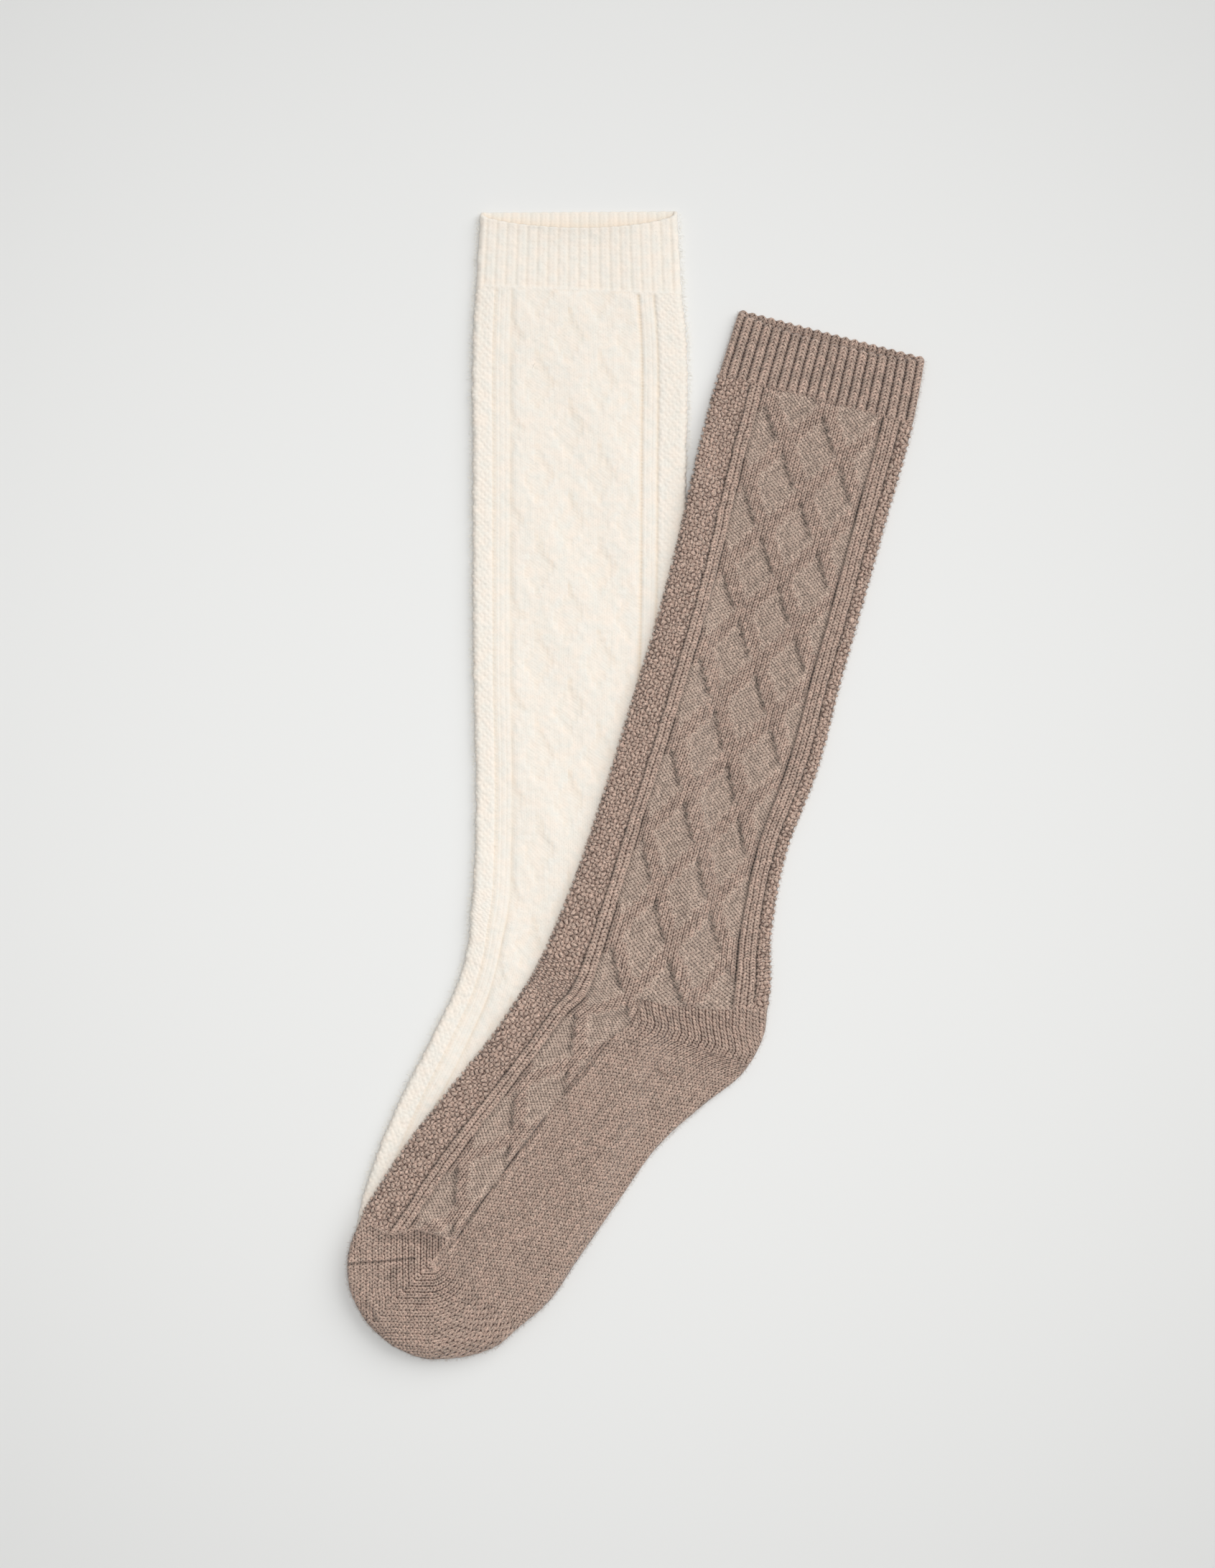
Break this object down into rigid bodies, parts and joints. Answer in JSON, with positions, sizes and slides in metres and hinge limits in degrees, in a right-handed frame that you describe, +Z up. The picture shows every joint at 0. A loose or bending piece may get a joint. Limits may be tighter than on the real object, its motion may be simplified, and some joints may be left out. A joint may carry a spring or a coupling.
{
  "type": "pair of socks",
  "caption": "Pair of knee-high textured knit socks, one cream and one taupe, laid flat with the taupe sock across the cream one.",
  "frame": {"origin": "middle of the pair's footprint, on the surface that the pair lies on", "axes": "+Z up from the surface, +Y towards the cuffs, +X to the right as seen from above with the toes pointing down and to the left"},
  "size_m": [0.2498, 0.4968, 0.0103],
  "materials": {
    "cream_rib_knit": "matte 1x1 rib knit, lightly brushed",
    "cream_cable_knit": "matte textured knit: seed stitch, twin ribs and purl diamonds",
    "cream_plain_knit": "matte stockinette knit",
    "taupe_rib_knit": "matte 1x1 rib knit, lightly brushed",
    "taupe_cable_knit": "matte textured knit: seed stitch, twin ribs and purl diamonds",
    "taupe_plain_knit": "matte stockinette knit"
  },
  "bodies": {
    "root": {"cream_cuff": "cream_rib_knit", "cream_leg": "cream_cable_knit", "cream_heel": "cream_plain_knit", "cream_instep": "cream_cable_knit", "cream_sole": "cream_plain_knit", "cream_toe": "cream_plain_knit", "taupe_cuff": "taupe_rib_knit", "taupe_leg": "taupe_cable_knit", "taupe_heel": "taupe_plain_knit", "taupe_instep": "taupe_cable_knit", "taupe_sole": "taupe_plain_knit", "taupe_toe": "taupe_plain_knit"}
  },
  "joints": []
}
